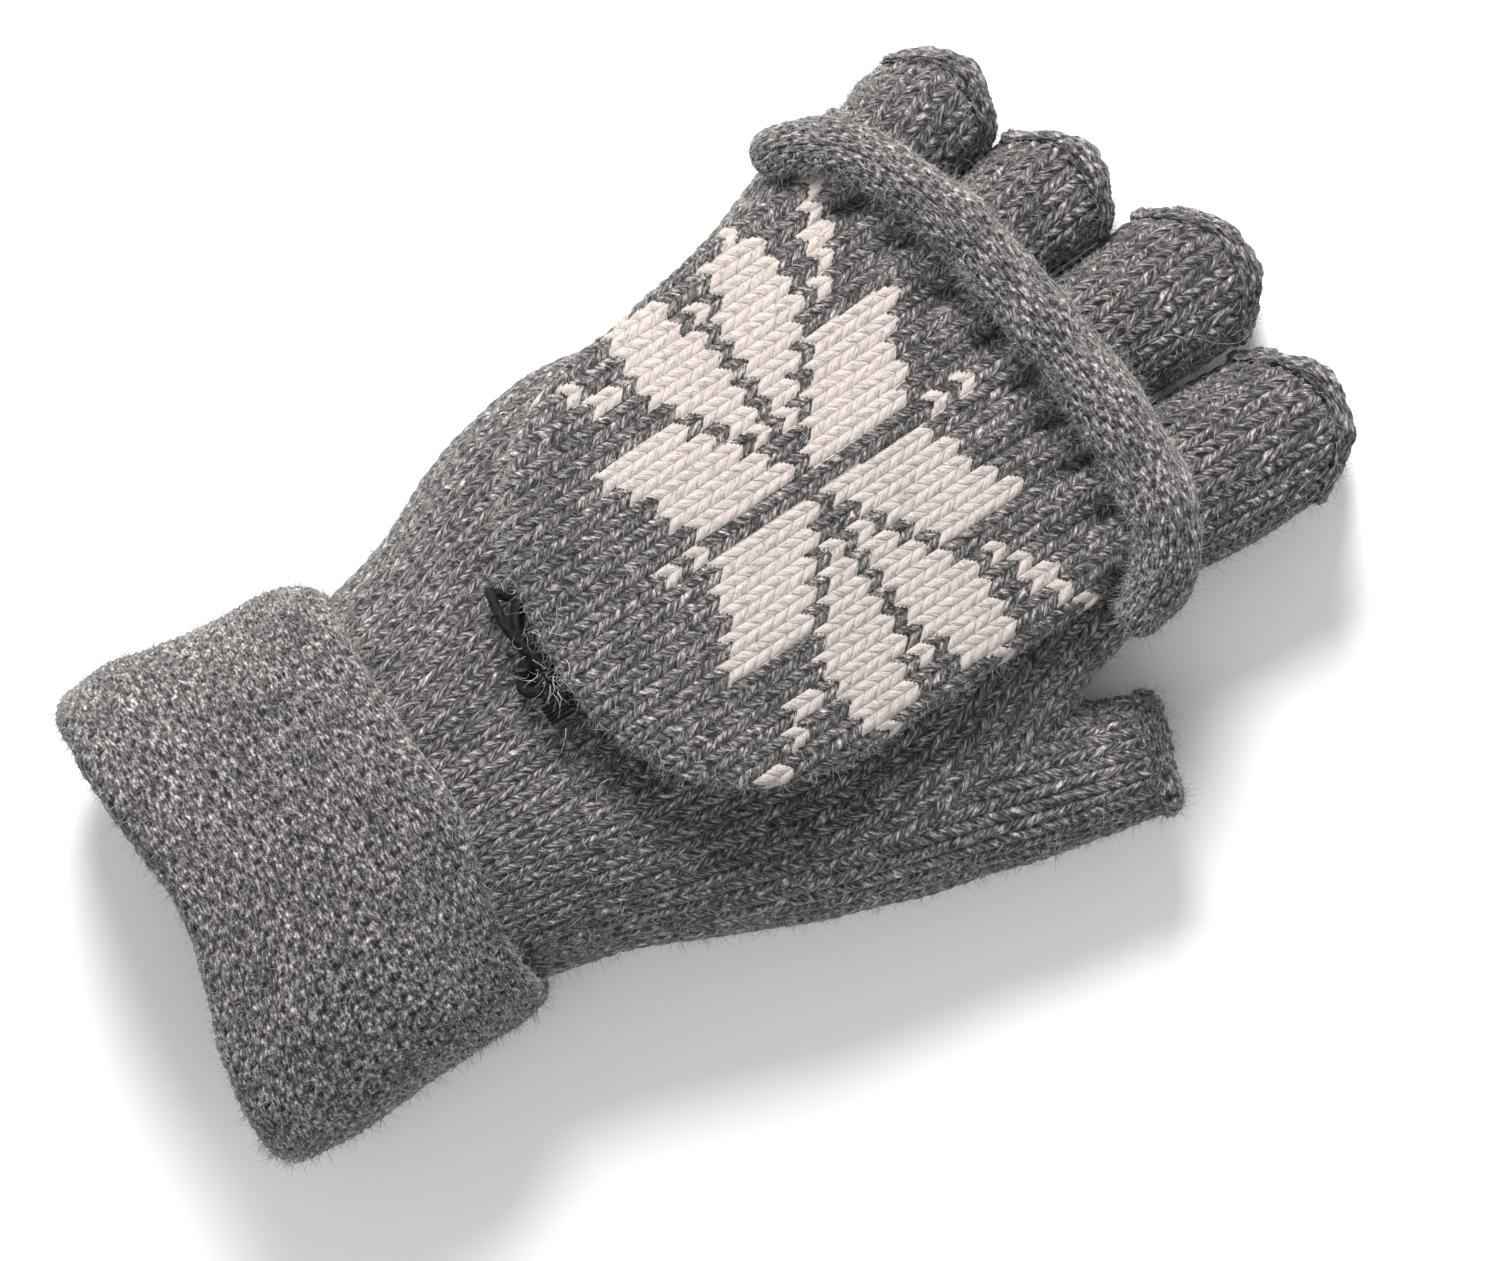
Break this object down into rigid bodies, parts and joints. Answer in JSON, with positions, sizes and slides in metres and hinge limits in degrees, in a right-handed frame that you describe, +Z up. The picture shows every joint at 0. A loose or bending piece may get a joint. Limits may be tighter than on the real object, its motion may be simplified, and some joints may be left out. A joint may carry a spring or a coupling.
{
  "type": "convertible flip-top mitten",
  "caption": "Left-hand knitted fingerless wool glove with a folded-back mitten cap, rolled edges, turned-back cuff, button and elastic loop.",
  "frame": {"origin": "centre of the mitten's bounding box on the plane that the palm rests on", "axes": "+Y from the wrist to the fingertips, +X to the thumb side, +Z up out of the back of the hand"},
  "size_m": [0.1235, 0.2031, 0.0487],
  "materials": {
    "grey_wool": "mid-grey melange wool, stocking stitch, soft stray fibres",
    "purl_side_wool": "mid-grey melange wool, purl side outwards, slightly lighter",
    "patterned_wool": "grey melange wool with a cream eight-petal star knitted in",
    "linking_yarn": "grey yarn chain stitches",
    "black_button": "polished black plastic with four holes",
    "sewing_thread": "dark grey polyester thread",
    "black_elastic": "black braided elastic cord"
  },
  "bodies": {
    "glove": {"hand_shell": "grey_wool", "wrist_tube": "grey_wool", "cap_linking_seam": "linking_yarn", "button": "black_button", "button_thread": "sewing_thread"},
    "cuff": {"cuff_outer_layer": "purl_side_wool", "cuff_fold_edge": "purl_side_wool", "cuff_cast_on_edge": "purl_side_wool"},
    "pinky": {"pinky_tube": "grey_wool", "pinky_rolled_edge": "purl_side_wool"},
    "ring": {"ring_tube": "grey_wool", "ring_rolled_edge": "purl_side_wool"},
    "middle": {"middle_tube": "grey_wool", "middle_rolled_edge": "purl_side_wool"},
    "index": {"index_tube": "grey_wool", "index_rolled_edge": "purl_side_wool"},
    "thumb": {"thumb_tube": "grey_wool", "thumb_rolled_edge": "purl_side_wool"},
    "cap_back": {"cap_back_panel": "patterned_wool", "elastic_loop": "black_elastic", "loop_tack": "sewing_thread"},
    "cap_front": {"cap_front_panel": "patterned_wool", "cap_mouth_roll": "purl_side_wool"}
  },
  "joints": [
    {"name": "cap_flip", "type": "hinge", "parent": "glove", "child": "cap_back", "pos_m": [-0.01, 0.05, 0.0362], "axis": [-1, 0, 0], "range_deg": [0, 178], "deforming": ["cap_front_panel", "cap_mouth_roll", "elastic_loop"]},
    {"name": "cap_gape", "type": "slide", "parent": "cap_back", "child": "cap_front", "axis": [0, 0, 1], "range_m": [0, 0.0262], "deforming": ["cap_front_panel", "cap_mouth_roll"]},
    {"name": "cuff_unfold", "type": "slide", "parent": "glove", "child": "cuff", "axis": [0, -1, 0], "range_m": [0, 0.03]},
    {"name": "pinky_flex", "type": "hinge", "parent": "glove", "child": "pinky", "pos_m": [-0.0486, 0.06017, 0.007], "axis": [-1, 0, 0], "range_deg": [0, 45]},
    {"name": "ring_flex", "type": "hinge", "parent": "glove", "child": "ring", "pos_m": [-0.0286, 0.06017, 0.007], "axis": [-1, 0, 0], "range_deg": [0, 45]},
    {"name": "middle_flex", "type": "hinge", "parent": "glove", "child": "middle", "pos_m": [-0.007, 0.06017, 0.007], "axis": [-1, 0, 0], "range_deg": [0, 45]},
    {"name": "index_flex", "type": "hinge", "parent": "glove", "child": "index", "pos_m": [0.018, 0.06017, 0.007], "axis": [-1, 0, 0], "range_deg": [0, 45]},
    {"name": "thumb_flex", "type": "hinge", "parent": "glove", "child": "thumb", "pos_m": [0.04854, 0.03796, 0.0036], "axis": [-0.9483, 0.3173, 0], "range_deg": [0, 40]}
  ],
  "couplings": [
    {"joint": "cap_gape", "follows": "cap_flip", "m_per_rad": 0.0084}
  ]
}
